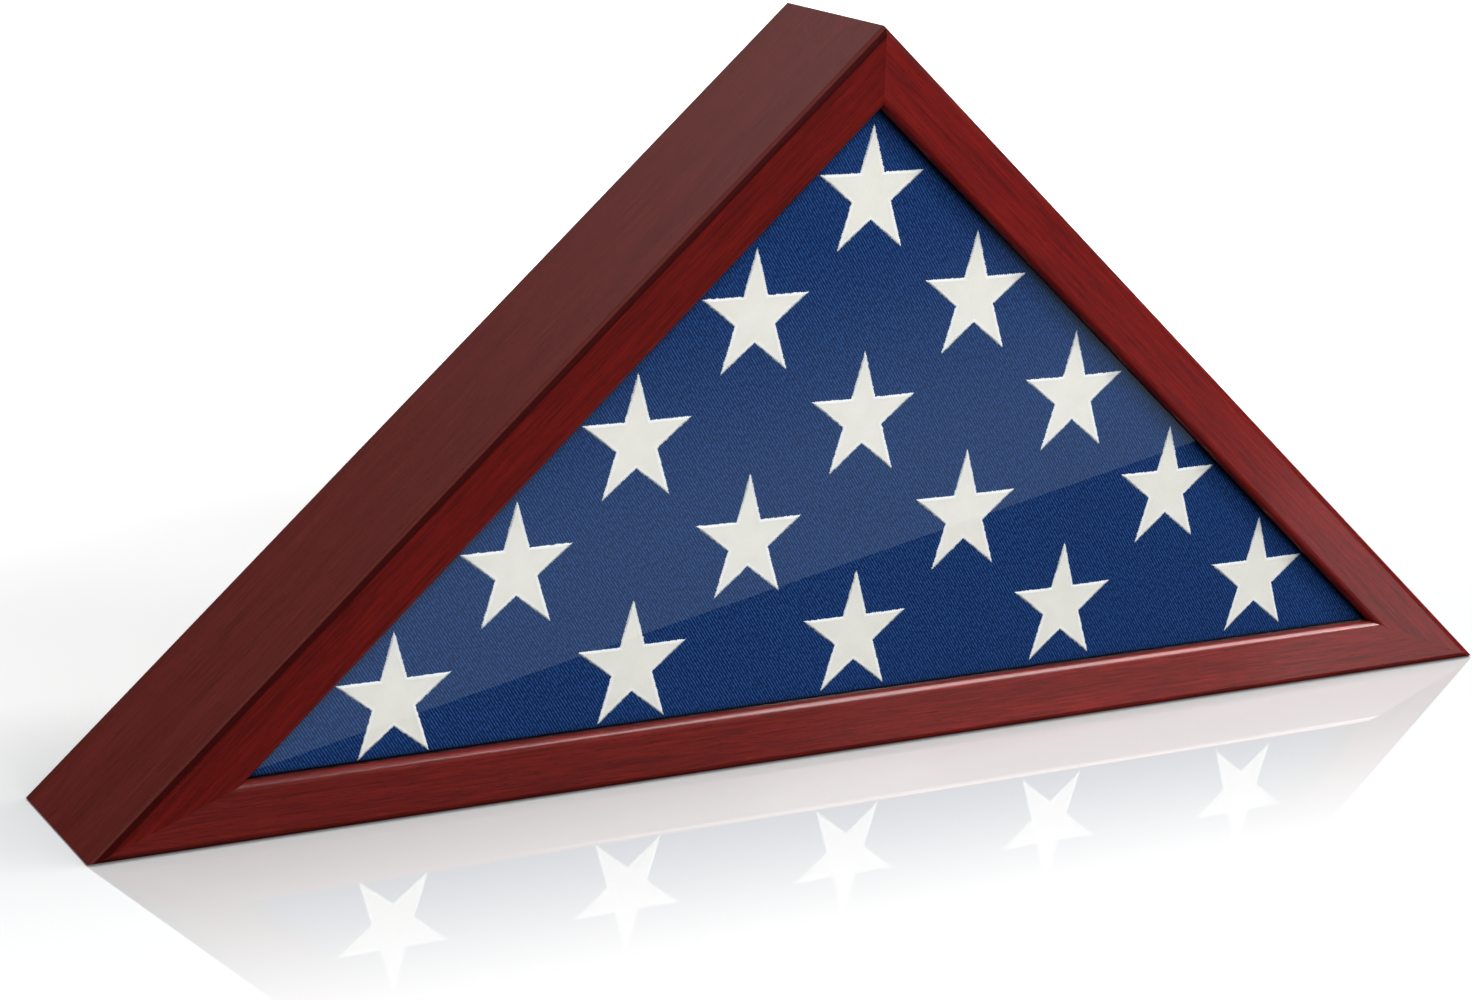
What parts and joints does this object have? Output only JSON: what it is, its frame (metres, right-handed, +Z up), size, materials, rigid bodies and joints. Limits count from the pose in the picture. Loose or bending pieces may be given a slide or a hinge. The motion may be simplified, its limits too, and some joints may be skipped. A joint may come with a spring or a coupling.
{
  "type": "folded flag display case",
  "caption": "Triangular wooden display case for a folded flag: mitred boards, face frame, glass front, removable lined back held by turn buttons.",
  "frame": {"origin": "middle of the base, at the height of the bottom board's lower face and halfway between the front face and the heads of the back screws", "axes": "+X along the base, to the right as seen from the front; +Y from the glass towards the back; +Z up"},
  "size_m": [0.65, 0.0838, 0.297],
  "materials": {
    "stained_wood": "dark red-brown stain under satin lacquer, fine straight grain",
    "dark_wood": "stained softwood, unpolished",
    "glass": "clear, polished",
    "flag_blue": "fine woven cotton",
    "star_white": "white cotton, stitched edge",
    "hardboard": "smooth pressed fibreboard",
    "black_felt": "short matt felt",
    "brass_plate": "thin brass plating on steel, lightly rubbed",
    "nail_steel": "plain bright steel"
  },
  "bodies": {
    "case": {"left_board": "stained_wood", "right_board": "stained_wood", "bottom_board": "stained_wood", "left_face_rail": "stained_wood", "right_face_rail": "stained_wood", "bottom_face_rail": "stained_wood", "glass_pane": "glass", "left_glass_stop": "dark_wood", "right_glass_stop": "dark_wood", "bottom_glass_stop": "dark_wood", "folded_flag": "flag_blue", "flag_stars": "star_white", "turn_button_screws": "brass_plate", "corner_nails": "nail_steel"},
    "back_panel": {"back_panel": "hardboard", "panel_lining": "black_felt"},
    "turn_button_left_low": {"turn_button_left_low": "brass_plate"},
    "turn_button_left_high": {"turn_button_left_high": "brass_plate"},
    "turn_button_right_high": {"turn_button_right_high": "brass_plate"},
    "turn_button_right_low": {"turn_button_right_low": "brass_plate"},
    "turn_button_bottom_right": {"turn_button_bottom_right": "brass_plate"},
    "turn_button_bottom_left": {"turn_button_bottom_left": "brass_plate"}
  },
  "joints": [
    {"name": "back_panel_slide", "type": "slide", "parent": "case", "child": "back_panel", "axis": [0, 1, 0], "range_m": [0, 0.15]},
    {"name": "turn_button_left_low_turn", "type": "hinge", "parent": "case", "child": "turn_button_left_low", "pos_m": [-0.23455, 0.03975, 0.07724], "axis": [0, 1, 0], "range_deg": [0, 90]},
    {"name": "turn_button_left_high_turn", "type": "hinge", "parent": "case", "child": "turn_button_left_high", "pos_m": [-0.08505, 0.03975, 0.21386], "axis": [0, 1, 0], "range_deg": [0, 90]},
    {"name": "turn_button_right_high_turn", "type": "hinge", "parent": "case", "child": "turn_button_right_high", "pos_m": [0.08505, 0.03975, 0.21386], "axis": [0, 1, 0], "range_deg": [0, 90]},
    {"name": "turn_button_right_low_turn", "type": "hinge", "parent": "case", "child": "turn_button_right_low", "pos_m": [0.23455, 0.03975, 0.07724], "axis": [0, 1, 0], "range_deg": [0, 90]},
    {"name": "turn_button_bottom_right_turn", "type": "hinge", "parent": "case", "child": "turn_button_bottom_right", "pos_m": [0.1495, 0.03975, 0.004], "axis": [0, 1, 0], "range_deg": [0, 90]},
    {"name": "turn_button_bottom_left_turn", "type": "hinge", "parent": "case", "child": "turn_button_bottom_left", "pos_m": [-0.1495, 0.03975, 0.004], "axis": [0, 1, 0], "range_deg": [0, 90]}
  ]
}
